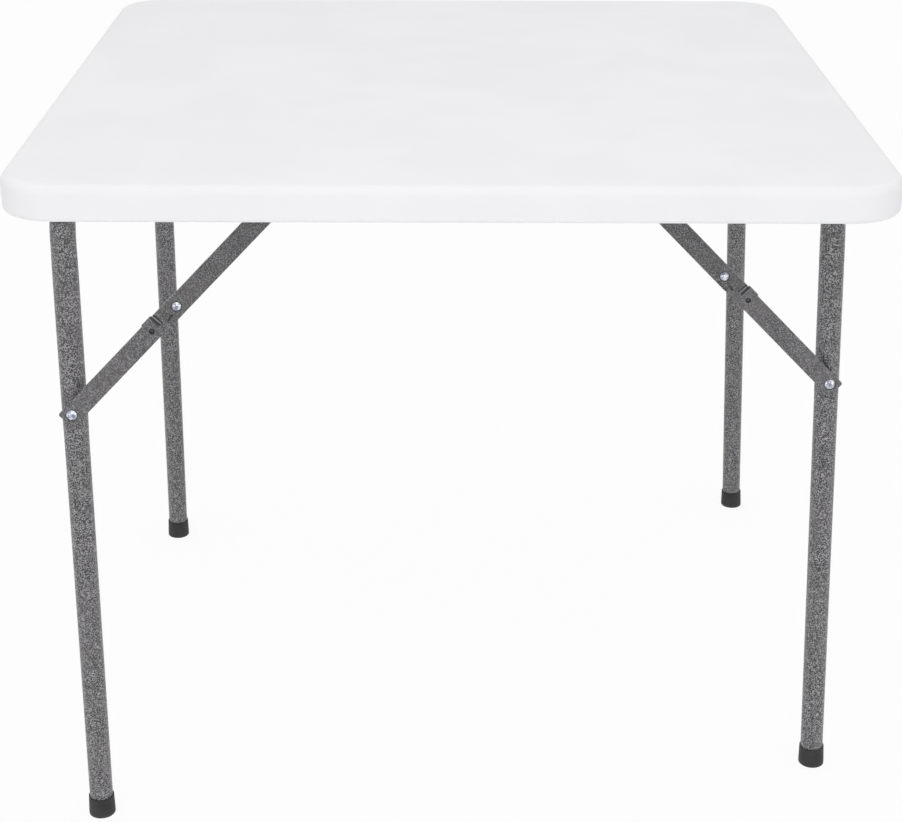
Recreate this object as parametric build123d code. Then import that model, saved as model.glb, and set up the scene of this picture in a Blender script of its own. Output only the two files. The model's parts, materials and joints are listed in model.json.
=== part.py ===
import os
from math import atan2, cos, degrees, hypot, radians, sin

from build123d import *

# Square folding card table: a blow-moulded top on two tube leg frames, each locked by a folding brace.
# Millimetres, +Z up, front at -Y, origin on the floor under the middle of the top.

# Overall
table_height = 730.0
top_width = 864.0
top_depth = 864.0

# Moulded top
top_thickness = 35.5
top_corner_radius = 57.0
top_edge_round = 9.0
rim_edge_round = 4.0
skin = 2.3
panel_thickness = 8.5
rim_width = 11.0
rim_draft = 1.5
recess_root_round = 2.0
dimple_margin = 83.5
dimple_mouth = 15.0
dimple_floor = 7.5
dimple_sides = 6
dimple_rows = 9
boss_radius = 5.0
pad_margin = 14.0

# Leg frames
tube_diameter = 25.0
tube_wall = 1.2
tube_bend_radius = 45.0
hinge_gap = 0.9
inner_leg_step = 99.0
left_splay = 0.6
right_splay = 2.5
storage_tilt = 0.2

# Front leg's pressed oval, measured down from the hinge
oval_spread = 0.6
oval_start = 56.0
oval_length = 200.0
oval_blend = 22.0

# Foot caps
cap_height = 23.0
cap_wall = 1.15
cap_flare = 0.6
cap_floor = 5.0
cap_round = 2.2
cap_fit = 0.05

# Saddles that the cross tubes turn in
saddle_clearance = 0.1
saddle_gauge = 1.0
saddle_width = 22.0
saddle_flange_gauge = 1.6
saddle_span = 60.0
saddle_screw_span = 44.0
saddle_inset = 26.0
saddle_corner = 4.0
left_saddle_gap = 14.5
right_saddle_gap = 3.5

# Braces
left_rivet_drop = 223.5
right_rivet_drop = 230.0
rivet_lead_gap = 4.5
arm_width = 20.0
arm_gauge = 2.0
arm_standoff = 3.6
arm_gap = 1.6
arm_end = 9.0
arm_end_corner = 2.5
slide_gap = 0.05
pivot_clearance = 0.06
washer_radius = 7.5
rivet_radius = 3.0
knuckle_head_radius = 4.7
rivet_head_radius = 5.4
rivet_head_height = 2.4
rivet_tail_radius = 4.6
rivet_tail_height = 1.3

# Knuckle stop and arm details, measured along the arms from the knuckle
heel_reach = 13.0
finger_reach = 23.0
finger_inner_edge = 2.5
finger_corner = 1.2
tip_length = 3.0
notch_length = 3.0
notch_width = 1.2
stop_clearance = 0.8
stop_gauge = 2.0
stop_overhang = 1.2
stop_running_gap = 0.3
stop_corner = 0.6
groove_width = 1.1
groove_depth = 1.3
ear_start = 27.0
ear_length = 13.5
ear_height = 1.3
button_radius = 3.0
button_reach = 37.5
button_depth = 1.3
button_height = 1.0
button_shear = 0.1

# Brace anchors
anchor_gauge = 1.8
anchor_clearance = 0.4
anchor_tab_width = 22.0
anchor_tab_round = 10.0
anchor_flange_width = 46.0
anchor_flange_depth = 10.5
anchor_flange_gauge = 1.6
anchor_flange_corner = 3.0
anchor_screw_span = 30.0
anchor_rim_gap = 2.9

# Screws
screw_head_radius = 3.8
screw_head_height = 2.0
screw_radius = 1.9
screw_length = 7.6
screw_fit = 0.05

tube_radius = tube_diameter / 2
half_arm = arm_width / 2
oval_width = tube_diameter + oval_spread
oval_depth = tube_diameter - oval_spread
cap_mouth_radius = tube_radius + cap_fit + cap_wall
cap_foot_radius = cap_mouth_radius + cap_flare
rivet_lead = half_arm + rivet_lead_gap

# Levels
ceiling_z = table_height - panel_thickness
rim_z = table_height - top_thickness
seat_drop = tube_radius + hinge_gap
hinge_z = ceiling_z - seat_drop

# Places in the recess, measured from the middle of the top
recess_reach = top_width / 2 - rim_width - rim_draft
recess_depth_reach = top_depth / 2 - rim_width - rim_draft
brace_stack = arm_standoff + 2 * arm_gauge + arm_gap + anchor_clearance + anchor_flange_depth
left_hinge_reach = recess_reach - left_saddle_gap - saddle_span / 2
right_hinge_reach = recess_reach - right_saddle_gap - saddle_span / 2
outer_leg_offset = recess_depth_reach - anchor_rim_gap - brace_stack - tube_radius
inner_leg_offset = outer_leg_offset - inner_leg_step

pivot_hole = rivet_radius + pivot_clearance
stop_height = arm_gap - stop_running_gap


class Side:
    """One leg frame and its brace, worked out on the left; place() mirrors it for the right."""

    def __init__(self, name, hinge_reach, rivet_drop, front_offset, back_offset, splay):
        self.name = name
        self.hinge_reach = hinge_reach
        self.rivet_drop = rivet_drop
        self.front_y = -front_offset
        self.back_y = back_offset
        self.splay = splay
        self.leg_length = hinge_z / cos(radians(splay))
        saddle_step = tube_bend_radius + saddle_inset
        self.saddle_ys = (self.front_y + saddle_step, self.back_y - saddle_step)

        # Y of the brace's layers, from the leg outwards to the front
        self.lower_back = self.front_y - tube_radius - arm_standoff
        self.lower_front = self.lower_back - arm_gauge
        self.upper_back = self.lower_front - arm_gap
        self.upper_front = self.upper_back - arm_gauge
        self.anchor_back = self.upper_front - anchor_clearance
        self.anchor_front = self.anchor_back - anchor_gauge
        self.anchor_screw_y = self.anchor_front - (anchor_flange_depth - anchor_gauge) / 2
        self.solve_brace()

    def solve_brace(self):
        """Arms that lie in one line with the leg open and level with the leg folded."""
        lean = radians(self.splay)
        tilt = radians(storage_tilt)
        ahead = rivet_lead
        below = self.rivet_drop * sin(tilt)
        self.anchor = Vector(-self.hinge_reach + self.rivet_drop * cos(tilt) - ahead, 0, hinge_z)
        rivet_x = -self.hinge_reach - self.rivet_drop * sin(lean)
        self.leg_rivet = Vector(rivet_x, 0, hinge_z - self.rivet_drop * cos(lean))
        span = self.leg_rivet - self.anchor
        self.upper_length = (span.length**2 - ahead**2 - below**2) / (2 * (span.length + ahead))
        self.lower_length = span.length - self.upper_length
        self.down = span.normalized()
        self.knuckle = self.anchor + self.down * self.upper_length
        self.fold_range = 90 + self.splay - storage_tilt
        self.upper_range = degrees(atan2(-self.down.Z, -self.down.X))
        self.knuckle_range = 180 - degrees(atan2(below, ahead + self.upper_length))

    def place(self, shape):
        """The shape on its own side of the table."""
        return mirror(shape, about=Plane.YZ) if self.name == "right" else shape

    def lean(self, shape):
        """The shape turned about the cross tube to the open leg's splay."""
        cross_tube = Axis((-self.hinge_reach, 0, hinge_z), (0, 1, 0))
        return shape.rotate(cross_tube, self.splay)

    def own_x(self, x):
        """An X worked out on the left, on the side's own half."""
        return -x if self.name == "right" else x


left = Side("left", left_hinge_reach, left_rivet_drop, outer_leg_offset, inner_leg_offset, left_splay)
right = Side("right", right_hinge_reach, right_rivet_drop, inner_leg_offset, outer_leg_offset, right_splay)
sides = (left, right)


# Shared shapes


def slab(width, depth, corner, bottom, top, taper=0):
    """A rounded rectangle raised between two heights."""
    outline = RectangleRounded(width, depth, corner)
    return extrude(Pos(0, 0, bottom) * outline, amount=top - bottom, taper=taper)


def level_edges(shape, z):
    """The edges that lie level at one height."""
    return shape.edges().filter_by_position(Axis.Z, z, z)


def post(radius, bottom, top):
    """An upright cylinder between two heights."""
    return Pos(0, 0, (bottom + top) / 2) * Cylinder(radius, top - bottom)


def facing_front(x, y, z):
    """A plane drawn in X and Z whose normal points to the front."""
    return Plane(origin=(x, y, z), x_dir=(1, 0, 0), z_dir=(0, -1, 0))


def along_brace(side, y):
    """A front-facing plane at the knuckle whose X runs down the brace to the leg."""
    origin = (side.knuckle.X, y, side.knuckle.Z)
    return Plane(origin=origin, x_dir=side.down, z_dir=(0, -1, 0))


def domed_head(radius, height):
    """A low dome that stands on Z zero."""
    ball_radius = (radius**2 + height**2) / (2 * height)
    ball = Pos(0, 0, height - ball_radius) * Sphere(ball_radius)
    return ball & post(radius, 0, height)


def rivet(head_radius, grip, tail):
    """A rivet under its dome: a shank as long as the grip, with a tail unless it stops short."""
    body = domed_head(head_radius, rivet_head_height) + post(rivet_radius, -grip, 0)
    if tail:
        formed = post(rivet_tail_radius, -grip - rivet_tail_height, -grip)
        body += chamfer(level_edges(formed, -grip - rivet_tail_height), rivet_tail_height / 3)
    return body


# Places of the fittings under the top


def saddle_screws(side):
    """X and Y of the screws in one side's saddles."""
    steps = (-saddle_screw_span / 2, saddle_screw_span / 2)
    return [(side.own_x(-side.hinge_reach + step), y) for step in steps for y in side.saddle_ys]


def anchor_screws(side):
    """X and Y of the two screws in one side's brace anchor."""
    steps = (-anchor_screw_span / 2, anchor_screw_span / 2)
    return [(side.own_x(side.anchor.X + step), side.anchor_screw_y) for step in steps]


def pads():
    """Middle and half sizes of each plain area that a fitting sits on."""
    areas = []
    for side in sides:
        for y in side.saddle_ys:
            areas.append((side.own_x(-side.hinge_reach), y, saddle_span / 2, saddle_width / 2))
        anchor_x = side.own_x(side.anchor.X)
        areas.append((anchor_x, side.anchor_screw_y, anchor_flange_width / 2, anchor_flange_depth / 2))
    return areas


def on_pad(x, y):
    """Whether a dimple at this place would run under a fitting."""
    margin = pad_margin
    return any(
        abs(x - pad_x) < half_x + margin and abs(y - pad_y) < half_y + margin
        for pad_x, pad_y, half_x, half_y in pads()
    )


def dimple_places():
    """The grid of tack-off dimples, without those that a fitting would cover."""
    shares = [2 * index / (dimple_rows - 1) - 1 for index in range(dimple_rows)]
    across = [share * (recess_reach - dimple_margin) for share in shares]
    along = [share * (recess_depth_reach - dimple_margin) for share in shares]
    return [(x, y) for x in across for y in along if not on_pad(x, y)]


# Moulded top


def dimple(growth):
    """One conical tack-off that rises from the recess to the top skin."""
    mouth = RegularPolygon(dimple_mouth / 2 + growth, dimple_sides)
    floor = RegularPolygon(dimple_floor / 2 + growth, dimple_sides)
    return loft([Pos(0, 0, ceiling_z) * mouth, Pos(0, 0, table_height - skin) * floor])


def moulded_top():
    """The hollow double-skinned top with its rim, leg recess and tack-offs."""
    body = slab(top_width, top_depth, top_corner_radius, rim_z, table_height)
    body = fillet(level_edges(body, table_height), top_edge_round)
    body = fillet(level_edges(body, rim_z), rim_edge_round)

    recess_width = top_width - 2 * rim_width
    recess_depth = top_depth - 2 * rim_width
    recess_corner = top_corner_radius - rim_width
    draft = degrees(atan2(rim_draft, ceiling_z - rim_z))
    recess = slab(recess_width, recess_depth, recess_corner, rim_z, ceiling_z, draft)
    recess = fillet(level_edges(recess, ceiling_z), recess_root_round)

    air_top = table_height - skin
    air = slab(top_width - 2 * skin, top_depth - 2 * skin, top_corner_radius - skin, rim_z + skin, air_top)
    air = fillet(level_edges(air, air_top), top_edge_round - skin)
    lining_width = recess_width + 2 * skin
    lining_depth = recess_depth + 2 * skin
    air -= slab(lining_width, lining_depth, recess_corner + skin, rim_z, ceiling_z + skin, draft)

    places = [Pos(x, y, 0) for x, y in dimple_places()]
    pocket = dimple(0)
    column = dimple(skin)
    screws = [Pos(x, y, 0) for side in sides for x, y in saddle_screws(side) + anchor_screws(side)]
    pilot_top = ceiling_z + screw_length - saddle_flange_gauge + screw_fit
    pilot = post(screw_radius + screw_fit, ceiling_z, pilot_top)
    boss = post(boss_radius, ceiling_z, air_top)
    air -= [place * column for place in places] + [place * boss for place in screws]
    body -= [recess] + [place * pocket for place in places] + [place * pilot for place in screws]
    return body - air


# Leg frames


def frame_core(side, inset):
    """One bent leg frame as a solid bar, out to an inset from the tube's outer surface."""
    x = -side.hinge_reach
    knee_z = hinge_z - tube_bend_radius
    foot_z = hinge_z - side.leg_length + cap_floor
    press_top = hinge_z - oval_start
    press_foot = press_top - oval_length
    flat_top = press_top - oval_blend
    flat_foot = press_foot + oval_blend
    middle_line = Wire(
        [
            Edge.make_line((x, side.front_y, press_top), (x, side.front_y, knee_z)),
            bend(x, side.front_y, side.front_y + tube_bend_radius, knee_z),
            Edge.make_line(
                (x, side.front_y + tube_bend_radius, hinge_z),
                (x, side.back_y - tube_bend_radius, hinge_z),
            ),
            bend(x, side.back_y, side.back_y - tube_bend_radius, knee_z),
            Edge.make_line((x, side.back_y, knee_z), (x, side.back_y, foot_z)),
        ]
    )
    round_section = Circle(tube_radius - inset)
    oval_section = Ellipse(oval_width / 2 - inset, oval_depth / 2 - inset)

    def at(z):
        return Pos(x, side.front_y, z)

    core = sweep(at(press_top) * round_section, path=middle_line)
    core += loft([at(flat_top) * oval_section, at(press_top) * round_section])
    core += extrude(at(flat_foot) * oval_section, amount=flat_top - flat_foot)
    core += loft([at(press_foot) * round_section, at(flat_foot) * oval_section])
    core += extrude(at(foot_z) * round_section, amount=press_foot - foot_z)
    return core


def bend(x, leg_y, cross_y, knee_z):
    """The quarter turn between a leg and the cross tube."""
    quarter_y = leg_y + (cross_y - leg_y) * (1 - cos(radians(45)))
    quarter_z = knee_z + tube_bend_radius * sin(radians(45))
    return Edge.make_three_point_arc((x, leg_y, knee_z), (x, quarter_y, quarter_z), (x, cross_y, hinge_z))


def leg_frame(side):
    """The bent tube with its rivet hole through the front leg."""
    tube = frame_core(side, 0) - frame_core(side, tube_wall)
    bore = Cylinder(pivot_hole, 2 * tube_diameter, rotation=(90, 0, 0))
    tube -= Pos(-side.hinge_reach, side.front_y, hinge_z - side.rivet_drop) * bore
    return side.lean(tube)


def foot_cap(side, leg_y):
    """A rubber cup on the leg's end, flat on the floor."""
    mouth_z = cap_height
    sunk = cap_round
    outside = make_face(
        Polyline(
            (0, -sunk),
            (cap_foot_radius, -sunk),
            (cap_foot_radius, cap_floor),
            (cap_mouth_radius, mouth_z),
            (0, mouth_z),
            (0, -sunk),
        )
    )
    cup = revolve(Plane.XZ * outside, Axis.Z)
    cup = fillet(level_edges(cup, mouth_z), (cap_mouth_radius - tube_radius) / 3)
    cup -= post(tube_radius + cap_fit, cap_floor, 2 * mouth_z)
    cup = side.lean(Pos(-side.hinge_reach, leg_y, hinge_z - side.leg_length) * cup)
    foot_x = -side.hinge_reach - side.leg_length * sin(radians(side.splay))
    floor = Pos(foot_x, leg_y, -sunk) * Box(4 * cap_foot_radius, 4 * cap_foot_radius, 2 * sunk)
    cup -= floor
    return fillet(level_edges(cup, 0), cap_round / 2)


# Saddles


def strap_outline(radius):
    """A U that hangs from the line Y zero round the cross tube's middle."""
    outline = Pos(0, -seat_drop) * Circle(radius)
    outline += Pos(0, -seat_drop / 2) * Rectangle(2 * radius, seat_drop)
    return outline - Pos(0, seat_drop) * Rectangle(4 * radius, 2 * seat_drop)


def saddle():
    """A pressed strap that wraps under the cross tube, drawn with the recess ceiling at Z zero."""
    inner_radius = tube_radius + saddle_clearance
    outer_radius = inner_radius + saddle_gauge
    strap = strap_outline(outer_radius)
    strap += Pos(0, -saddle_flange_gauge / 2) * Rectangle(saddle_span, saddle_flange_gauge)
    strap -= strap_outline(inner_radius)
    body = extrude(Plane.XZ * strap, amount=saddle_width / 2, both=True)
    hole = post(screw_radius + screw_fit, -seat_drop, seat_drop)
    body -= [Pos(step, 0, 0) * hole for step in (-saddle_screw_span / 2, saddle_screw_span / 2)]
    tips = body.edges().filter_by(Axis.Z).filter_by(lambda edge: abs(edge.center().X) > saddle_screw_span / 2)
    return fillet(tips, saddle_corner)


def screw():
    """A pan-head screw driven upwards, its head under Z zero."""
    head = mirror(domed_head(screw_head_radius, screw_head_height), about=Plane.XY)
    return head + post(screw_radius, 0, screw_length)


# Braces


def upper_arm(side):
    """The brace arm from the anchor to the knuckle, with a heel and a bent-tipped stop finger past it."""
    reach = side.upper_length
    bar = Pos((heel_reach - reach) / 2, 0) * Rectangle(reach + heel_reach, arm_width)
    finger_width = half_arm + finger_inner_edge
    finger_y = finger_inner_edge - finger_width / 2
    bar += Pos(finger_reach / 2, finger_y) * Rectangle(finger_reach, finger_width)
    corners = bar.vertices().filter_by(lambda corner: corner.X > finger_reach / 2)
    ends = corners.filter_by(lambda corner: max(corner.X - finger_reach, corner.Y - half_arm) > -finger_corner)
    bar = fillet(ends, finger_corner)
    notch_y = finger_inner_edge + notch_width / 2
    notch = Pos(heel_reach, notch_y) * Rectangle(2 * notch_length, notch_width)
    bar -= notch + Pos(heel_reach - notch_length, notch_y) * Circle(notch_width / 2)
    bar += Pos(-reach, 0) * Circle(half_arm)
    bar -= Pos(-reach, 0) * Circle(pivot_hole)
    bar -= Circle(rivet_radius)
    plate = extrude(along_brace(side, side.upper_back) * bar, amount=arm_gauge)

    tip_start = finger_reach - tip_length
    tip = Pos(tip_start + tip_length / 2, finger_y) * Rectangle(tip_length, finger_width)
    tip = fillet(tip.vertices().filter_by(lambda corner: corner.X > tip_start + finger_corner), finger_corner)
    return plate + extrude(along_brace(side, side.upper_back) * tip, amount=-stop_height)


def lower_arm(side):
    """The brace arm from the knuckle to the leg, with the raised tab that the finger stops on."""
    reach = side.lower_length
    end_x = reach + arm_end
    bar = Pos(end_x / 2, 0) * Rectangle(end_x, arm_width)
    bar = fillet(bar.vertices().filter_by(lambda corner: corner.X > reach), arm_end_corner)
    ear = Pos(ear_start + ear_length / 2, -ear_height / 2) * Rectangle(ear_length, arm_width + ear_height)
    bar += fillet(ear.vertices().filter_by(lambda corner: corner.Y < 0), stop_corner)
    bar += Circle(half_arm)
    bar -= Circle(pivot_hole)
    bar -= Pos(reach, 0) * Circle(rivet_radius)
    arm = extrude(along_brace(side, side.lower_back) * bar, amount=arm_gauge)

    front = along_brace(side, side.lower_front)
    tab_width = half_arm + stop_overhang
    tab_y = stop_overhang - tab_width / 2
    tab_start = finger_reach + stop_clearance
    tab_end = tab_start + stop_gauge
    tab = Pos((tab_start + tab_end) / 2, tab_y) * RectangleRounded(stop_gauge, tab_width, stop_corner)
    arm += extrude(front * tab, amount=stop_height)
    groove = Pos(tab_end + groove_width / 2, tab_y) * Rectangle(groove_width, tab_width)
    arm -= extrude(front * groove, amount=-groove_depth)

    place = Pos(button_reach, 0)
    button = Circle(button_radius - button_shear)
    arm += extrude(along_brace(side, side.lower_back) * place * button, amount=-button_height)
    arm -= extrude(front * place * Circle(button_radius), amount=-button_depth)
    return arm


def ring(outer, inner, back, front):
    """A flat washer that faces the front, between two Y values, on the line X and Z zero."""
    return extrude(facing_front(0, back, 0) * (Circle(outer) - Circle(inner)), amount=back - front)


def knuckle_washer(side):
    """The spacer that keeps the arms apart."""
    washer = ring(washer_radius, pivot_hole, side.lower_front - slide_gap, side.upper_back)
    return Pos(side.knuckle.X, 0, side.knuckle.Z) * washer


def knuckle_rivet(side):
    """The rivet through both arms, its tail behind the lower one."""
    grip = side.upper_front - side.lower_back - slide_gap
    place = facing_front(side.knuckle.X, side.upper_front, side.knuckle.Z).location
    return place * rivet(knuckle_head_radius, -grip, True)


def leg_rivet(side):
    """The headed half of the leg rivet, which rides with the lower arm."""
    place = facing_front(side.leg_rivet.X, side.lower_front, side.leg_rivet.Z).location
    return place * rivet(rivet_head_radius, arm_gauge, False)


def leg_spacer(side):
    """The spacer between the pressed leg and the brace."""
    face = side.front_y - oval_depth / 2
    spacer = ring(washer_radius, pivot_hole, face, side.lower_back + slide_gap)
    return Pos(side.leg_rivet.X, 0, side.leg_rivet.Z) * spacer


def leg_rivet_stem(side):
    """The other half of the leg rivet: a shank through the leg, formed over at the back."""
    front = side.lower_back + slide_gap
    back = side.front_y + oval_depth / 2
    stem = post(rivet_radius, 0, back - front)
    formed = post(rivet_head_radius, -rivet_tail_height, 0)
    stem += chamfer(level_edges(formed, -rivet_tail_height), rivet_tail_height / 3)
    return facing_front(side.leg_rivet.X, back, side.leg_rivet.Z).location * stem


# Brace anchors


def anchor(side):
    """The angle bracket under the top that the brace hangs from."""
    tab = Pos(0, -seat_drop / 2) * Rectangle(anchor_tab_width, seat_drop)
    tab += Pos(0, -seat_drop) * Circle(anchor_tab_round)
    tab -= Pos(0, -seat_drop) * Circle(rivet_radius)
    body = extrude(facing_front(0, side.anchor_back, 0) * tab, amount=anchor_gauge)
    flange = Rectangle(anchor_flange_width, anchor_flange_depth)
    front_corners = flange.vertices().filter_by(lambda corner: corner.Y < 0)
    flange = fillet(front_corners, anchor_flange_corner)
    middle_y = side.anchor_back - anchor_flange_depth / 2
    body += extrude(Pos(0, middle_y, -anchor_flange_gauge) * flange, amount=anchor_flange_gauge)
    hole = post(screw_radius + screw_fit, -seat_drop, seat_drop)
    steps = (-anchor_screw_span / 2, anchor_screw_span / 2)
    body -= [Pos(step, side.anchor_screw_y, 0) * hole for step in steps]
    return Pos(side.anchor.X, 0, ceiling_z) * body


def anchor_rivet(side):
    """The pivot rivet of the upper arm, its tail between the arms' planes."""
    grip = side.upper_back - side.anchor_front + slide_gap
    place = facing_front(side.anchor.X, side.anchor_front, side.anchor.Z).location
    return place * rivet(rivet_head_radius, grip, True)


# Export


def save(shape, name):
    """Write one sub-part."""
    export_step(shape, f"parts/{name}.step")


def save_side(side):
    """Write one leg frame with its feet, saddles, brace and fasteners."""
    save(side.place(leg_frame(side)), f"{side.name}_leg_frame")
    save(side.place(foot_cap(side, side.front_y)), f"{side.name}_front_foot_cap")
    save(side.place(foot_cap(side, side.back_y)), f"{side.name}_back_foot_cap")
    for end, y in zip(("front", "back"), side.saddle_ys):
        save(side.place(Pos(-side.hinge_reach, y, ceiling_z) * saddle()), f"{side.name}_{end}_saddle")
    pieces = {
        "upper_arm": upper_arm,
        "lower_arm": lower_arm,
        "knuckle_washer": knuckle_washer,
        "knuckle_rivet": knuckle_rivet,
        "leg_rivet": leg_rivet,
        "leg_spacer": leg_spacer,
        "leg_rivet_stem": leg_rivet_stem,
        "brace_anchor": anchor,
        "anchor_rivet": anchor_rivet,
    }
    for name, make in pieces.items():
        save(side.place(make(side)), f"{side.name}_{name}")
    for name, points, gauge in (
        ("saddle_screws", saddle_screws(side), saddle_flange_gauge),
        ("anchor_screws", anchor_screws(side), anchor_flange_gauge),
    ):
        save(Compound([Pos(x, y, ceiling_z - gauge) * screw() for x, y in points]), f"{side.name}_{name}")


def main():
    """Write every sub-part and print the joints' places and ranges."""
    os.makedirs("parts", exist_ok=True)
    save(moulded_top(), "moulded_top")
    for side in sides:
        save_side(side)
        print(side.name, "anchor", side.own_x(side.anchor.X), hinge_z)
        print(side.name, "knuckle", side.own_x(side.knuckle.X), side.knuckle.Z)
        print(side.name, "leg rivet", side.own_x(side.leg_rivet.X), side.leg_rivet.Z)
        print(side.name, "arms", side.upper_length, side.lower_length)
        print(side.name, "ranges", side.fold_range, side.upper_range, side.knuckle_range)


main()
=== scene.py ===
import json
from math import pi

import bmesh
import bpy
from bpy.props import FloatProperty, FloatVectorProperty, PointerProperty
from mathutils import Matrix, Vector


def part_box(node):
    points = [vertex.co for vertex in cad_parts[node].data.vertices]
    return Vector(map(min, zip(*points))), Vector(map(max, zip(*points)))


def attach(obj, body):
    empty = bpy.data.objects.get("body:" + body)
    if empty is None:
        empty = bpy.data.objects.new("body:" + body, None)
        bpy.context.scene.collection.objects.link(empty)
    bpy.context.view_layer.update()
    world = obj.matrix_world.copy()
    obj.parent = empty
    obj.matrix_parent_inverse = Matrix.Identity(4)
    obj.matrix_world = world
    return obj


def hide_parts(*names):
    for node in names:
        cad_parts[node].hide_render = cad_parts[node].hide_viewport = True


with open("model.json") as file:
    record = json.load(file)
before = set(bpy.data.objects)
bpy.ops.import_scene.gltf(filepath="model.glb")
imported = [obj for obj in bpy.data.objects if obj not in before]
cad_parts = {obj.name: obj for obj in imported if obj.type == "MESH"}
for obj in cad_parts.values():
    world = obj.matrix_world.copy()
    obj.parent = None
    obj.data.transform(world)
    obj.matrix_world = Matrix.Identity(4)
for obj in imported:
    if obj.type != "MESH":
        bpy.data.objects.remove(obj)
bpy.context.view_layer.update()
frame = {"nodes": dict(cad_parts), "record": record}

bl_info = {
    "name": "Folding card table",
    "version": (1, 0, 0),
    "blender": (4, 5, 0),
    "location": "View3D > Sidebar > Card Table",
    "description": "Finishes a folding card table with a moulded top and hammertone leg frames",
    "category": "Object",
}

SIDES = ("left", "right")

# The photograph's camera: picture width and focal length in pixels, sensor in millimetres, place and
# farthest view in metres, turns in radians
PHOTO_WIDTH = 902
PHOTO_FOCAL = 1921.0
SENSOR_WIDTH = 36.0
CAMERA_PLACE = Vector((-0.0108, -2.1524, 1.2523))
CAMERA_PITCH = 0.4106
CAMERA_YAW = 0.0060
CAMERA_ROLL = 0.0045
VIEW_REACH = 60.0

# Each lamp's power setting, size and place, and the point that all of them face
LAMPS = {
    "overhead": ("overhead", 2.0, Vector((0, -1.6, 2.6))),
    "front": ("front", 1.1, Vector((0, -3.7, 2.0))),
    "low left": ("low", 1.0, Vector((-2.5, -2.5, 0.8))),
    "low right": ("low", 1.0, Vector((2.5, -2.5, 0.8))),
}
LAMP_AIM = Vector((0, 0, 0.5))

# The floor's half width, and the climbs over which the light passes from skirting to walls to ceiling
FLOOR_REACH = 14.0
WALL_CLIMB = (0.04, 0.2)
CEILING_CLIMB = (0.2, 0.7)
WHITE = (1, 1, 1)

# Painted shade in the hollows round the knuckle, and a painted highlight on the stop's tab. A box has its
# limits down the brace from the knuckle, across the brace, and behind the lower arm's front face. A ring has
# its inner and outer radius.
STOP_GAP = ((0.0214, 0.0241), (-0.0102, 0.0014), (-0.004, 0.001))
STOP_GROOVE = ((0.0256, 0.029), (-0.0102, 0.0014), (-0.001, 0.0018))
RELIEF_NOTCH = ((0.0093, 0.018), (0.0024, 0.0052), (-0.0034, 0.001))
# Where the stop's tab gets its painted highlight
STOP_TAB = ((0.0241, 0.0256), (-0.0102, 0.0014), (-0.0015, -0.0008))
BUTTON_REACH = 0.0375
BUTTON_RING = (0.0006, 0.003)
BUTTON_SINK = 0.0003
KNUCKLE_RING = (0.004, 0.0055)
LEG_RING = (0.004, 0.0062)

# The paint's middle tone, as a share of the vein's and the cell's colours together. The less the contrast,
# the closer both colours come to it.
MIDDLE_TONE = 0.34
# Each brace arm's own middle tone; the upper arm's darker tone is painted shade from the top above it
ARM_TONES_WITH_PAINTED_SHADE = {"upper_arm": 0.09, "lower_arm": 0.23}

# How strongly the dull patches show on the plating
PLATE_PATCHES = 0.35
RIVET_PATCHES = 1.0

# Screws: steps round and over the head, the first one's turn and each next one's, a sharp edge's angle,
# and how near two points of a CAD mesh or a spun outline are one
SCREW_STEPS = 32
HEAD_STEPS = 7
FIRST_TURN = 0.7
TURN_STEP = 1.9
SHARP_ANGLE = 0.6
CAD_MERGE = 1e-7
SPIN_MERGE = 1e-6


# Settings


class CardTableTop(bpy.types.PropertyGroup):
    """Finish of the moulded top."""

    colour: FloatVectorProperty(
        name="Colour", description="Colour of the plastic", subtype="COLOR", default=(0.89, 0.89, 0.905)
    )
    grain: FloatProperty(
        name="Grain", description="Size of the moulded grain", default=0.0009, unit="LENGTH", precision=5
    )
    grain_depth: FloatProperty(
        name="Grain depth",
        description="Depth of the moulded grain",
        default=0.00003,
        unit="LENGTH",
        precision=6,
    )


class CardTablePaint(bpy.types.PropertyGroup):
    """Finish of the leg frames and braces."""

    vein: FloatVectorProperty(
        name="Vein",
        description="Colour between the hammered cells",
        subtype="COLOR",
        default=(0.03, 0.028, 0.031),
    )
    cell: FloatVectorProperty(
        name="Cell", description="Colour of the raised cells", subtype="COLOR", default=(0.375, 0.366, 0.387)
    )
    warm: FloatVectorProperty(
        name="Warm",
        description="Colour of the warmer patches",
        subtype="COLOR",
        default=(0.175, 0.162, 0.158),
    )
    # Colour of the painted shade in the hollows round the knuckle
    painted_shade: FloatVectorProperty(
        name="Hollow", description="Colour of the hollows", subtype="COLOR", default=(0.008, 0.008, 0.01)
    )
    # Colour of the painted highlight on the stop's tab
    rubbed: FloatVectorProperty(
        name="Rubbed", description="Colour of the rubbed edge", subtype="COLOR", default=(0.36, 0.36, 0.39)
    )
    cell_size: FloatProperty(
        name="Cell size", description="Size of the hammered cells", default=0.0013, unit="LENGTH", precision=5
    )
    strap_contrast: FloatProperty(
        name="Strap contrast",
        description="Strength of the cells on the flat braces",
        default=0.5,
        subtype="FACTOR",
    )
    depth: FloatProperty(
        name="Depth", description="Height of the hammered cells", default=0.00012, unit="LENGTH", precision=6
    )


class CardTableFittings(bpy.types.PropertyGroup):
    """Finish of the foot caps and fasteners, and the screws' drive."""

    rubber: FloatVectorProperty(
        name="Rubber", description="Colour of the foot caps", subtype="COLOR", default=(0.012, 0.012, 0.013)
    )
    scuff: FloatVectorProperty(
        name="Scuff", description="Colour of the scuffed feet", subtype="COLOR", default=(0.11, 0.105, 0.1)
    )
    zinc: FloatVectorProperty(
        name="Zinc", description="Colour of the bright plating", subtype="COLOR", default=(0.76, 0.84, 0.92)
    )
    dull_zinc: FloatVectorProperty(
        name="Dull zinc",
        description="Colour of the plating's dull patches",
        subtype="COLOR",
        default=(0.27, 0.26, 0.33),
    )
    drive_width: FloatProperty(
        name="Drive width", description="Width of the cross slots", default=0.0011, unit="LENGTH", precision=5
    )
    drive_reach: FloatProperty(
        name="Drive reach", description="Reach of the cross slots", default=0.0021, unit="LENGTH", precision=5
    )


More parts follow.
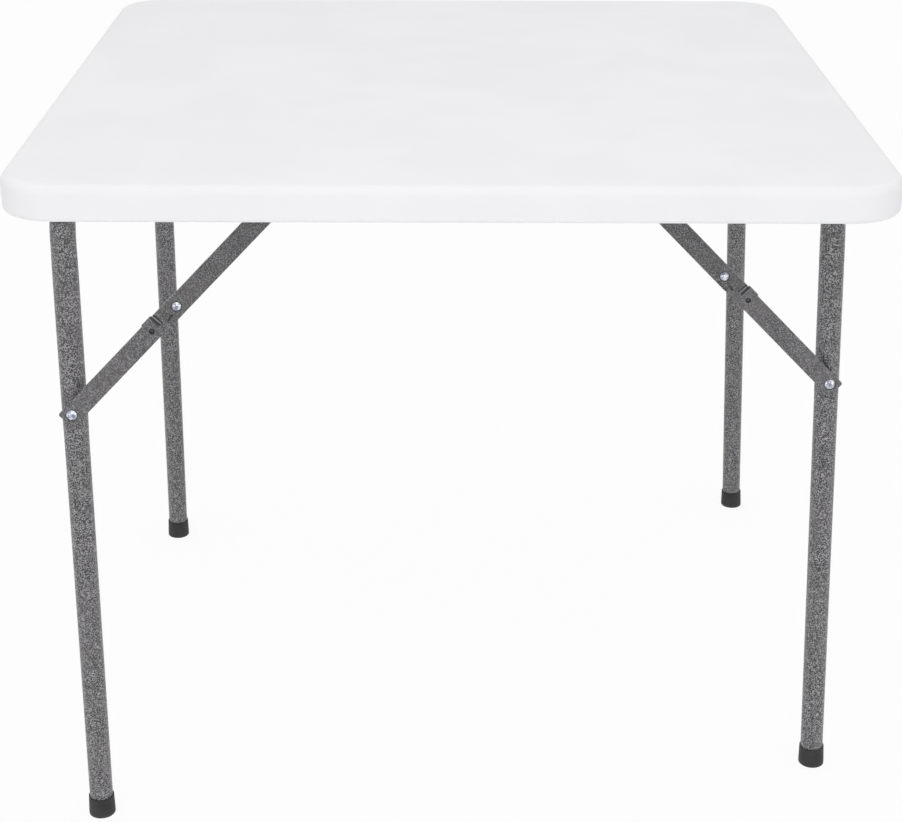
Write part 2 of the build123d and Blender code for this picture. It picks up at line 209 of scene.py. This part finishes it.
class CardTableStage(bpy.types.PropertyGroup):
    """Light and floor."""

    zenith: FloatProperty(name="Zenith", description="Strength of the room's light from above", default=0.95)
    walls: FloatProperty(name="Walls", description="Strength of the light from the walls", default=0.5)
    skirting: FloatProperty(
        name="Skirting", description="Strength of the light low on the walls", default=0.12
    )
    overhead: FloatProperty(
        name="Overhead", description="Power of the soft overhead lamp", default=6.5, unit="POWER"
    )
    front: FloatProperty(name="Front", description="Power of the soft front lamp", default=13.0, unit="POWER")
    low: FloatProperty(name="Low", description="Power of each low lamp in front", default=7.0, unit="POWER")
    floor: FloatVectorProperty(
        name="Floor", description="Colour of the floor", subtype="COLOR", default=(0.93, 0.93, 0.93)
    )
    white_share: FloatProperty(
        name="White share",
        description="Share of plain white that the camera sees in the floor",
        default=0.9,
        subtype="FACTOR",
    )


# Node helpers


def plug(tree, socket, value):
    """Link a value's socket, or set a plain value."""
    if isinstance(value, bpy.types.NodeSocket):
        tree.links.new(value, socket)
    elif socket.type == "RGBA":
        socket.default_value = (*value[:3], 1)
    else:
        socket.default_value = value


def add_node(tree, kind, settings=None, **inputs):
    """A node with its settings and its named inputs."""
    node = tree.nodes.new(kind)
    for key, value in (settings or {}).items():
        setattr(node, key, value)
    for key, value in inputs.items():
        plug(tree, node.inputs[key.replace("_", " ")], value)
    return node


def arithmetic(tree, operation, first, second):
    """The result of a math node."""
    node = add_node(tree, "ShaderNodeMath", {"operation": operation})
    plug(tree, node.inputs[0], first)
    plug(tree, node.inputs[1], second)
    return node.outputs[0]


def vector_result(tree, operation, output, first, second):
    """One result of a vector math node."""
    node = add_node(tree, "ShaderNodeVectorMath", {"operation": operation})
    plug(tree, node.inputs[0], first)
    plug(tree, node.inputs[1], second)
    return node.outputs[output]


def blend_colour(tree, share, first, second):
    """The result of a colour mix."""
    node = add_node(tree, "ShaderNodeMix", {"data_type": "RGBA"})
    sockets = {socket.identifier: socket for socket in node.inputs}
    plug(tree, sockets["Factor_Float"], share)
    plug(tree, sockets["A_Color"], first)
    plug(tree, sockets["B_Color"], second)
    return next(socket for socket in node.outputs if socket.identifier == "Result_Color")


def noise(tree, place, scale, detail, distortion=0.0):
    """The level of a noise node."""
    given = {"Vector": place, "Scale": scale, "Detail": detail, "Distortion": distortion}
    return add_node(tree, "ShaderNodeTexNoise", None, **given).outputs["Fac"]


def stretch(tree, value, low, high):
    """A value stretched from low to high onto zero to one, with soft ends."""
    node = add_node(tree, "ShaderNodeMapRange", {"interpolation_type": "SMOOTHSTEP"}, Value=value)
    node.inputs["From Min"].default_value = low
    node.inputs["From Max"].default_value = high
    return node.outputs["Result"]


def spread(tree, share, start, end):
    """A share of zero to one spread evenly from start to end."""
    node = add_node(tree, "ShaderNodeMapRange", None, Value=share, To_Min=start, To_Max=end)
    return node.outputs["Result"]


def window(tree, value, low, high):
    """One where a value lies between two limits, and zero elsewhere."""
    above = arithmetic(tree, "GREATER_THAN", value, low)
    return arithmetic(tree, "MULTIPLY", above, arithmetic(tree, "LESS_THAN", value, high))


def new_group(name, inputs, outputs):
    """A shader node group with its end nodes."""
    group = bpy.data.node_groups.new(name, "ShaderNodeTree")
    for direction, sockets in (("INPUT", inputs), ("OUTPUT", outputs)):
        for socket_name, kind in sockets.items():
            group.interface.new_socket(socket_name, in_out=direction, socket_type=f"NodeSocket{kind}")
    return group, group.nodes.new("NodeGroupInput"), group.nodes.new("NodeGroupOutput")


def place_group(tree, name, **inputs):
    """A node of one shared group, with its inputs."""
    return add_node(tree, "ShaderNodeGroup", {"node_tree": bpy.data.node_groups[name]}, **inputs)


def object_place(tree):
    """Object coordinates, which are the table's own."""
    return tree.nodes.new("ShaderNodeTexCoord").outputs["Object"]


def new_material(name, **shader):
    """A material with one Principled shader, whose plain values are set on its own sockets."""
    material = bpy.data.materials.new(name)
    material.use_nodes = True
    tree = material.node_tree
    principled = tree.nodes["Principled BSDF"]
    for key, value in shader.items():
        principled.inputs[key.replace("_", " ")].default_value = value
    return material, tree, principled


def raise_surface(tree, principled, height, distance):
    """Bump from a height between zero and one."""
    bump = add_node(tree, "ShaderNodeBump", None, Height=height, Distance=distance, Strength=1.0)
    tree.links.new(bump.outputs["Normal"], principled.inputs["Normal"])


# Effects that several materials share


def hammered_cells():
    """Winding raised cells between narrow veins, as hammertone paint dries."""
    cell_edges = (0.46, 0.6)
    winding = 0.6
    patch_scale = 0.2
    patch_edges = (0.35, 0.65)
    patch_strength = 0.35

    inputs = {"Vector": "Vector", "Cell": "Float"}
    group, given, result = new_group("Hammered cells", inputs, {"Height": "Float", "Tone": "Float"})
    place = given.outputs["Vector"]
    scale = arithmetic(group, "DIVIDE", 1.0, given.outputs["Cell"])
    raised = stretch(group, noise(group, place, scale, detail=0.0, distortion=winding), *cell_edges)
    patches = noise(group, place, arithmetic(group, "MULTIPLY", scale, patch_scale), detail=1.0)
    strength = arithmetic(group, "MULTIPLY", stretch(group, patches, *patch_edges), patch_strength)
    full = arithmetic(group, "ADD", strength, 1.0 - patch_strength)
    plug(group, result.inputs["Height"], raised)
    plug(group, result.inputs["Tone"], arithmetic(group, "MULTIPLY", raised, full))


def slow_variation():
    """A soft uneven share, coarser than a grain."""
    edges = (0.35, 0.68)

    inputs = {"Vector": "Vector", "Scale": "Float"}
    group, given, result = new_group("Slow variation", inputs, {"Share": "Float"})
    level = noise(group, given.outputs["Vector"], given.outputs["Scale"], detail=3.0)
    plug(group, result.inputs["Share"], stretch(group, level, *edges))


def fine_grain():
    """A close random grain for moulded plastic, rubber and plating."""
    group, given, result = new_group("Fine grain", {"Vector": "Vector", "Size": "Float"}, {"Height": "Float"})
    scale = arithmetic(group, "DIVIDE", 1.0, given.outputs["Size"])
    plug(group, result.inputs["Height"], noise(group, given.outputs["Vector"], scale, detail=2.0))


def knuckle_shade_and_highlight():
    """Painted shade in the hollows round the knuckle, and a painted highlight on the stop's tab."""
    inputs = {name: "Vector" for name in ("Vector", "Knuckle", "Down", "Across")} | {"Reach": "Float"}
    group, given, result = new_group("Knuckle wear", inputs, {"Hollow": "Float", "Rubbed": "Float"})
    place = vector_result(group, "SUBTRACT", "Vector", given.outputs["Vector"], given.outputs["Knuckle"])
    down = vector_result(group, "DOT_PRODUCT", "Value", place, given.outputs["Down"])
    across = vector_result(group, "DOT_PRODUCT", "Value", place, given.outputs["Across"])
    depth = add_node(group, "ShaderNodeSeparateXYZ", None, Vector=place).outputs["Y"]

    def box(down_limits, across_limits, depth_limits):
        lengthwise = window(group, down, *down_limits)
        face = arithmetic(group, "MULTIPLY", lengthwise, window(group, across, *across_limits))
        return arithmetic(group, "MULTIPLY", face, window(group, depth, *depth_limits))

    def ring(reach, inner, outer):
        along = arithmetic(group, "SUBTRACT", down, reach)
        along_square = arithmetic(group, "MULTIPLY", along, along)
        across_square = arithmetic(group, "MULTIPLY", across, across)
        square = arithmetic(group, "ADD", along_square, across_square)
        return window(group, arithmetic(group, "SQRT", square, 0.0), inner, outer)

    # Painted shade in the button's dimple, round the rivet heads, in the stop's gap and groove and in the
    # relief notch
    sunk = arithmetic(group, "GREATER_THAN", depth, BUTTON_SINK)
    painted_shade = arithmetic(group, "MULTIPLY", ring(BUTTON_REACH, *BUTTON_RING), sunk)
    painted_shade = arithmetic(group, "MAXIMUM", painted_shade, ring(0.0, *KNUCKLE_RING))
    painted_shade = arithmetic(group, "MAXIMUM", painted_shade, ring(given.outputs["Reach"], *LEG_RING))
    for limits in (STOP_GAP, STOP_GROOVE, RELIEF_NOTCH):
        painted_shade = arithmetic(group, "MAXIMUM", painted_shade, box(*limits))
    plug(group, result.inputs["Hollow"], painted_shade)
    # Painted highlight on the stop's tab
    plug(group, result.inputs["Rubbed"], box(*STOP_TAB))


# Materials


def moulded_plastic(settings):
    """White blow-moulded polyethylene: a fine grain, a slight cloudiness and an uneven sheen."""
    cloud_scale = 9.0
    cloud_shade = 0.98
    shaded_roughness, bright_roughness = 0.56, 0.48

    material, tree, principled = new_material("Moulded plastic", IOR=1.5, Specular_IOR_Level=0.2)
    place = object_place(tree)
    cloud = place_group(tree, "Slow variation", Vector=place, Scale=cloud_scale).outputs["Share"]
    shaded = [value * cloud_shade for value in settings.colour]
    plug(tree, principled.inputs["Base Color"], blend_colour(tree, cloud, shaded, settings.colour))
    plug(tree, principled.inputs["Roughness"], spread(tree, cloud, shaded_roughness, bright_roughness))
    grain = place_group(tree, "Fine grain", Vector=place, Size=settings.grain)
    raise_surface(tree, principled, grain.outputs["Height"], settings.grain_depth)
    return material


def hammertone_paint(settings, name, contrast=1.0, tone=MIDDLE_TONE, knuckle_lines=None):
    """Gray hammertone paint, with painted shade and a painted highlight at the knuckle on the brace arms."""
    patch_scale = 22.0
    warm_share = 0.22
    # How strongly the painted shade and the painted highlight show at the knuckle
    painted_shade_share = 0.93
    highlight_share = 0.45

    material, tree, principled = new_material(
        name, Roughness=0.42, IOR=1.5, Coat_Weight=0.25, Coat_Roughness=0.22
    )
    place = object_place(tree)
    cells = place_group(tree, "Hammered cells", Vector=place, Cell=settings.cell_size)
    middle = [(low + high) * tone for low, high in zip(settings.vein, settings.cell)]
    vein = [mean + (low - mean) * contrast for mean, low in zip(middle, settings.vein)]
    cell = [mean + (high - mean) * contrast for mean, high in zip(middle, settings.cell)]
    toned = blend_colour(tree, cells.outputs["Tone"], vein, cell)
    slow = place_group(tree, "Slow variation", Vector=place, Scale=patch_scale).outputs["Share"]
    toned = blend_colour(tree, arithmetic(tree, "MULTIPLY", slow, warm_share), toned, settings.warm)
    if knuckle_lines:
        knuckle_light = place_group(tree, "Knuckle wear", Vector=place, **knuckle_lines)
        # Painted shade in the knuckle's hollows
        painted_shade = arithmetic(tree, "MULTIPLY", knuckle_light.outputs["Hollow"], painted_shade_share)
        toned = blend_colour(tree, painted_shade, toned, settings.painted_shade)
        # Painted highlight on the stop's tab
        rubbed = arithmetic(tree, "MULTIPLY", knuckle_light.outputs["Rubbed"], highlight_share)
        toned = blend_colour(tree, rubbed, toned, settings.rubbed)
    plug(tree, principled.inputs["Base Color"], toned)
    raise_surface(tree, principled, cells.outputs["Height"], settings.depth * contrast)
    return material


def black_rubber(settings):
    """Matte black rubber with a soft grain, scuffed where it meets the floor."""
    dust_scale = 60.0
    dust_gain, dust_lift = 1.6, 0.004
    scuff_height = 0.005
    scuff_scale = 240.0
    scuff_share = 0.5
    grain_size, grain_depth = 0.0008, 0.00006

    material, tree, principled = new_material("Black rubber", Roughness=0.62, IOR=1.5)
    place = object_place(tree)
    slow = place_group(tree, "Slow variation", Vector=place, Scale=dust_scale).outputs["Share"]
    dusty = [value * dust_gain + dust_lift for value in settings.rubber]
    toned = blend_colour(tree, slow, settings.rubber, dusty)
    height = add_node(tree, "ShaderNodeSeparateXYZ", None, Vector=place).outputs["Z"]
    patches = place_group(tree, "Slow variation", Vector=place, Scale=scuff_scale).outputs["Share"]
    scuffed = arithmetic(tree, "MULTIPLY", stretch(tree, height, scuff_height, 0.0), patches)
    toned = blend_colour(tree, arithmetic(tree, "MULTIPLY", scuffed, scuff_share), toned, settings.scuff)
    plug(tree, principled.inputs["Base Color"], toned)
    grain = place_group(tree, "Fine grain", Vector=place, Size=grain_size)
    raise_surface(tree, principled, grain.outputs["Height"], grain_depth)
    return material


def zinc_plate(settings, name, patchiness):
    """Bright zinc with dull patches, on the rivets, screws, washers, spacers and saddles."""
    patch_scale = 260.0
    dull_roughness, bright_roughness = 0.1, 0.2
    grain_size, grain_depth = 0.0005, 0.000012

    material, tree, principled = new_material(name, Metallic=1.0)
    place = object_place(tree)
    slow = place_group(tree, "Slow variation", Vector=place, Scale=patch_scale).outputs["Share"]
    dull = arithmetic(tree, "MULTIPLY", arithmetic(tree, "SUBTRACT", 1.0, slow), patchiness)
    plug(tree, principled.inputs["Base Color"], blend_colour(tree, dull, settings.zinc, settings.dull_zinc))
    plug(tree, principled.inputs["Roughness"], spread(tree, slow, dull_roughness, bright_roughness))
    grain = place_group(tree, "Fine grain", Vector=place, Size=grain_size)
    raise_surface(tree, principled, grain.outputs["Height"], grain_depth)
    return material


def brace_lines(side):
    """The knuckle on the lower arm's front face, the ways down and across, and the leg rivet's reach."""
    low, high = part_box(f"{side}_knuckle_washer")
    knuckle = Vector(((low[0] + high[0]) / 2, high[1], (low[2] + high[2]) / 2))
    low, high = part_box(f"{side}_leg_rivet")
    down = (Vector(low) + Vector(high)) / 2 - knuckle
    down.y = 0
    reach = down.length
    down.normalize()
    across = Vector((-down.z, 0, down.x))
    if side == "right":
        across.negate()
    return {"Knuckle": knuckle, "Down": down, "Across": across, "Reach": reach}


def set_finish(name, material):
    """Put a material in every slot of a CAD node."""
    for slot in frame["nodes"][name].material_slots:
        slot.material = material


# Screws with a cross drive


def as_object(form, name):
    """An object with the form's mesh."""
    mesh = bpy.data.meshes.new(name)
    form.to_mesh(mesh)
    form.free()
    obj = bpy.data.objects.new(name, mesh)
    bpy.context.scene.collection.objects.link(obj)
    return obj


def islands(node):
    """The separate solids of a CAD node, as lists of points."""
    form = bmesh.new()
    form.from_mesh(node.data)
    bmesh.ops.remove_doubles(form, verts=form.verts, dist=CAD_MERGE)
    left = set(form.verts)
    found = []
    while left:
        queue = [left.pop()]
        points = []
        while queue:
            vert = queue.pop()
            points.append(vert.co.copy())
            for edge in vert.link_edges:
                other = edge.other_vert(vert)
                if other in left:
                    left.remove(other)
                    queue.append(other)
        found.append(points)
    form.free()
    return found


def screw_profile(head_radius, head_height, radius, length):
    """Half outline of a pan-head screw, from the middle of its head at the bottom up to its tip."""
    ball = (head_radius**2 + head_height**2) / (2 * head_height)
    points = []
    for index in range(HEAD_STEPS + 1):
        across = head_radius * index / HEAD_STEPS
        points.append(Vector((across, 0, ball - head_height - (ball**2 - across**2) ** 0.5)))
    points.append(Vector((radius, 0, 0)))
    points.append(Vector((radius, 0, length - radius)))
    points.append(Vector((radius / 3, 0, length)))
    points.append(Vector((0, 0, length)))
    return points


def spun(points):
    """A closed form turned from a half outline about Z."""
    form = bmesh.new()
    verts = [form.verts.new(point) for point in points]
    edges = [form.edges.new(pair) for pair in zip(verts, verts[1:])]
    bmesh.ops.spin(
        form, geom=verts + edges, axis=(0, 0, 1), angle=2 * pi, steps=SCREW_STEPS, use_merge=True
    )
    bmesh.ops.remove_doubles(form, verts=form.verts, dist=SPIN_MERGE)
    bmesh.ops.recalc_face_normals(form, faces=form.faces)
    return form


def cross_drive(settings, head_height):
    """The tapered cross that is cut out of a screw's head, its mouth under the head."""
    taper = 0.55
    mouth = -head_height - settings.drive_width
    root = -head_height / 4

    form = bmesh.new()
    for turn in (0, pi / 2):
        made = bmesh.ops.create_cube(form, size=1.0)["verts"]
        for vert in made:
            deep = vert.co.z > 0
            share = taper if deep else 1.0
            vert.co.x *= 2 * settings.drive_reach * share
            vert.co.y *= settings.drive_width * share
            vert.co.z = root if deep else mouth
        bmesh.ops.rotate(form, verts=made, cent=(0, 0, 0), matrix=Matrix.Rotation(turn, 3, "Z"))
    return as_object(form, "cross_drive")


def cut(body, cutter):
    """The body's mesh with the cutter taken out of it."""
    modifier = body.modifiers.new("cut", "BOOLEAN")
    modifier.object = cutter
    modifier.operation = "DIFFERENCE"
    modifier.use_self = True
    graph = bpy.context.evaluated_depsgraph_get()
    mesh = bpy.data.meshes.new_from_object(body.evaluated_get(graph))
    for obj in (body, cutter):
        bpy.data.objects.remove(obj)
    return mesh


def crossed_screws(node_name, settings, material):
    """Screws with a cross drive in place of one node's plain ones."""
    rim_share = 0.97

    form = bmesh.new()
    for index, points in enumerate(islands(frame["nodes"][node_name])):
        low = Vector([min(point[axis] for point in points) for axis in range(3)])
        high = Vector([max(point[axis] for point in points) for axis in range(3)])
        middle = (low + high) / 2
        head_radius = (high.x - low.x) / 2
        rim = [point for point in points if (point.xy - middle.xy).length > head_radius * rim_share]
        seat = max(point.z for point in rim)
        shank = [point for point in points if point.z > (seat + high.z) / 2]
        radius = max((point.xy - middle.xy).length for point in shank)
        head_height = seat - low.z
        body = as_object(spun(screw_profile(head_radius, head_height, radius, high.z - seat)), "screw")
        mesh = cut(body, cross_drive(settings, head_height))
        turn = Matrix.Rotation(FIRST_TURN + index * TURN_STEP, 4, "Z")
        mesh.transform(Matrix.Translation((middle.x, middle.y, seat)) @ turn)
        form.from_mesh(mesh)
        bpy.data.meshes.remove(mesh)
    screws = as_object(form, f"{node_name}_crossed")
    screws.data.materials.append(material)
    screws.data.shade_smooth()
    screws.data.set_sharp_from_angle(angle=SHARP_ANGLE)
    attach(screws, "table_top")
    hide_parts(node_name)


# Stage


def looked_at(tree, rays):
    """One for the rays that show a backdrop to the camera, in a mirror or through glass."""
    seen = arithmetic(tree, "MAXIMUM", rays.outputs["Is Camera Ray"], rays.outputs["Is Glossy Ray"])
    return arithmetic(tree, "MAXIMUM", seen, rays.outputs["Is Transmission Ray"])


def mix_shaders(tree, share, first, second):
    """The result of a shader mix."""
    mix = tree.nodes.new("ShaderNodeMixShader")
    plug(tree, mix.inputs[0], share)
    plug(tree, mix.inputs[1], first.outputs[0])
    plug(tree, mix.inputs[2], second.outputs[0])
    return mix


def lay_floor(settings):
    """A pale floor, nearly white to the camera and clear from below, that keeps the table's shadow."""
    form = bmesh.new()
    bmesh.ops.create_grid(form, x_segments=1, y_segments=1, size=FLOOR_REACH)
    floor = as_object(form, "floor")
    material, tree, principled = new_material("Floor", Roughness=0.9, Specular_IOR_Level=0.0)
    principled.inputs["Base Color"].default_value = (*settings.floor, 1)
    white = add_node(tree, "ShaderNodeEmission", None, Color=WHITE, Strength=1.0)
    rays = tree.nodes.new("ShaderNodeLightPath")
    whiteness = arithmetic(tree, "MULTIPLY", looked_at(tree, rays), settings.white_share)
    above = mix_shaders(tree, whiteness, principled, white)
    below = tree.nodes.new("ShaderNodeNewGeometry").outputs["Backfacing"]
    clearness = arithmetic(tree, "MULTIPLY", below, rays.outputs["Is Camera Ray"])
    both = mix_shaders(tree, clearness, above, tree.nodes.new("ShaderNodeBsdfTransparent"))
    plug(tree, tree.nodes["Material Output"].inputs["Surface"], both.outputs[0])
    floor.data.materials.append(material)


def light_room(context, settings):
    """A room with a bright ceiling and walls that darken towards the floor, white to the camera."""
    world = bpy.data.worlds.new("Room")
    world.use_nodes = True
    context.scene.world = world
    tree = world.node_tree
    room = tree.nodes["Background"]
    room.inputs["Color"].default_value = (*WHITE, 1)
    outlook = tree.nodes.new("ShaderNodeTexCoord").outputs["Generated"]
    climb = add_node(tree, "ShaderNodeSeparateXYZ", None, Vector=outlook).outputs["Z"]
    wall_gain = settings.walls - settings.skirting
    ceiling_gain = settings.zenith - settings.walls
    walls = arithmetic(tree, "MULTIPLY", stretch(tree, climb, *WALL_CLIMB), wall_gain)
    ceiling = arithmetic(tree, "MULTIPLY", stretch(tree, climb, *CEILING_CLIMB), ceiling_gain)
    strength = arithmetic(tree, "ADD", arithmetic(tree, "ADD", walls, ceiling), settings.skirting)
    plug(tree, room.inputs["Strength"], strength)
    white = add_node(tree, "ShaderNodeBackground", None, Color=WHITE, Strength=1.0)
    seen = looked_at(tree, tree.nodes.new("ShaderNodeLightPath"))
    mix = mix_shaders(tree, seen, room, white)
    plug(tree, tree.nodes["World Output"].inputs["Surface"], mix.outputs[0])


def add_lamp(name, power, size, place):
    """A square soft lamp that faces the table."""
    lamp = bpy.data.lights.new(name, "AREA")
    lamp.energy = power
    lamp.size = size
    obj = bpy.data.objects.new(name, lamp)
    obj.location = place
    obj.rotation_euler = (LAMP_AIM - place).to_track_quat("-Z", "Y").to_euler()
    bpy.context.scene.collection.objects.link(obj)


def set_camera(context):
    """The photograph's viewpoint, in front of the table and a little above it."""
    camera = bpy.data.cameras.new("camera")
    camera.sensor_width = SENSOR_WIDTH
    camera.lens = PHOTO_FOCAL * SENSOR_WIDTH / PHOTO_WIDTH
    camera.clip_end = VIEW_REACH
    obj = bpy.data.objects.new("camera", camera)
    heading = Matrix.Rotation(-CAMERA_YAW, 4, "Z")
    tilt = Matrix.Rotation(pi / 2 - CAMERA_PITCH, 4, "X")
    roll = Matrix.Rotation(CAMERA_ROLL, 4, "Z")
    obj.matrix_world = Matrix.Translation(CAMERA_PLACE) @ heading @ tilt @ roll
    context.scene.collection.objects.link(obj)
    context.scene.camera = obj


# Operators


class CARDTABLE_OT_shared_effects(bpy.types.Operator):
    """Build the node groups that the materials share"""

    bl_idname = "cardtable.shared_effects"
    bl_label = "Shared effects"

    def execute(self, context):
        for build in (hammered_cells, slow_variation, fine_grain, knuckle_shade_and_highlight):
            build()
        return {"FINISHED"}


class CARDTABLE_OT_finishes(bpy.types.Operator):
    """Give every part of the table its finish"""

    bl_idname = "cardtable.finishes"
    bl_label = "Finishes"

    def execute(self, context):
        paint = context.scene.card_table_paint
        fittings = context.scene.card_table_fittings
        contrast = paint.strap_contrast
        finishes = {
            "moulded_plastic": moulded_plastic(context.scene.card_table_top),
            "hammertone_paint": hammertone_paint(paint, "Hammertone paint"),
            "black_rubber": black_rubber(fittings),
            "zinc": zinc_plate(fittings, "Zinc plate", PLATE_PATCHES),
        }
        anchor_paint = hammertone_paint(paint, "Hammertone paint on anchors", contrast)
        rivet_plate = zinc_plate(fittings, "Zinc plate on rivets", RIVET_PATCHES)
        for part in frame["record"]["subparts"]:
            name = part["node"]
            if name.endswith("brace_anchor"):
                set_finish(name, anchor_paint)
            elif name.endswith("rivet"):
                set_finish(name, rivet_plate)
            else:
                set_finish(name, finishes[part["material_slot"]])
        for side in SIDES:
            # Each arm gets its own copy of the paint, the upper arm's darker one holding painted shade
            for arm, tone in ARM_TONES_WITH_PAINTED_SHADE.items():
                title = f"Hammertone paint on {side} {arm}"
                set_finish(f"{side}_{arm}", hammertone_paint(paint, title, contrast, tone, brace_lines(side)))
        return {"FINISHED"}


class CARDTABLE_OT_screws(bpy.types.Operator):
    """Replace the plain screws under the top by screws with a cross drive"""

    bl_idname = "cardtable.screws"
    bl_label = "Screws"

    def execute(self, context):
        material = bpy.data.materials["Zinc plate"]
        for side in SIDES:
            for group in ("saddle_screws", "anchor_screws"):
                crossed_screws(f"{side}_{group}", context.scene.card_table_fittings, material)
        return {"FINISHED"}


class CARDTABLE_OT_stage(bpy.types.Operator):
    """Set up the floor, the light and the camera"""

    bl_idname = "cardtable.stage"
    bl_label = "Stage"

    def execute(self, context):
        settings = context.scene.card_table_stage
        lay_floor(settings)
        light_room(context, settings)
        for name, (power, size, place) in LAMPS.items():
            add_lamp(name, getattr(settings, power), size, place)
        set_camera(context)
        context.scene.view_settings.view_transform = "Standard"
        return {"FINISHED"}


# Panel


class CARDTABLE_PT_panel(bpy.types.Panel):
    """Card table settings and steps"""

    bl_label = "Card table"
    bl_idname = "CARDTABLE_PT_panel"
    bl_space_type = "VIEW_3D"
    bl_region_type = "UI"
    bl_category = "Card Table"

    def draw(self, context):
        for name, kind in SETTINGS.items():
            box = self.layout.box()
            for key in kind.__annotations__:
                box.prop(getattr(context.scene, name), key)
        for step in STEPS:
            self.layout.operator(step.bl_idname)


SETTINGS = {
    "card_table_top": CardTableTop,
    "card_table_paint": CardTablePaint,
    "card_table_fittings": CardTableFittings,
    "card_table_stage": CardTableStage,
}
STEPS = (CARDTABLE_OT_shared_effects, CARDTABLE_OT_finishes, CARDTABLE_OT_screws, CARDTABLE_OT_stage)
CLASSES = (*SETTINGS.values(), *STEPS, CARDTABLE_PT_panel)


def register():
    for item in CLASSES:
        bpy.utils.register_class(item)
    for name, kind in SETTINGS.items():
        setattr(bpy.types.Scene, name, PointerProperty(type=kind))


def unregister():
    for name in SETTINGS:
        delattr(bpy.types.Scene, name)
    for item in reversed(CLASSES):
        bpy.utils.unregister_class(item)


def main():
    register()
    bpy.ops.cardtable.shared_effects()
    bpy.ops.cardtable.finishes()
    bpy.ops.cardtable.screws()
    bpy.ops.cardtable.stage()


if __name__ == "__main__":
    main()
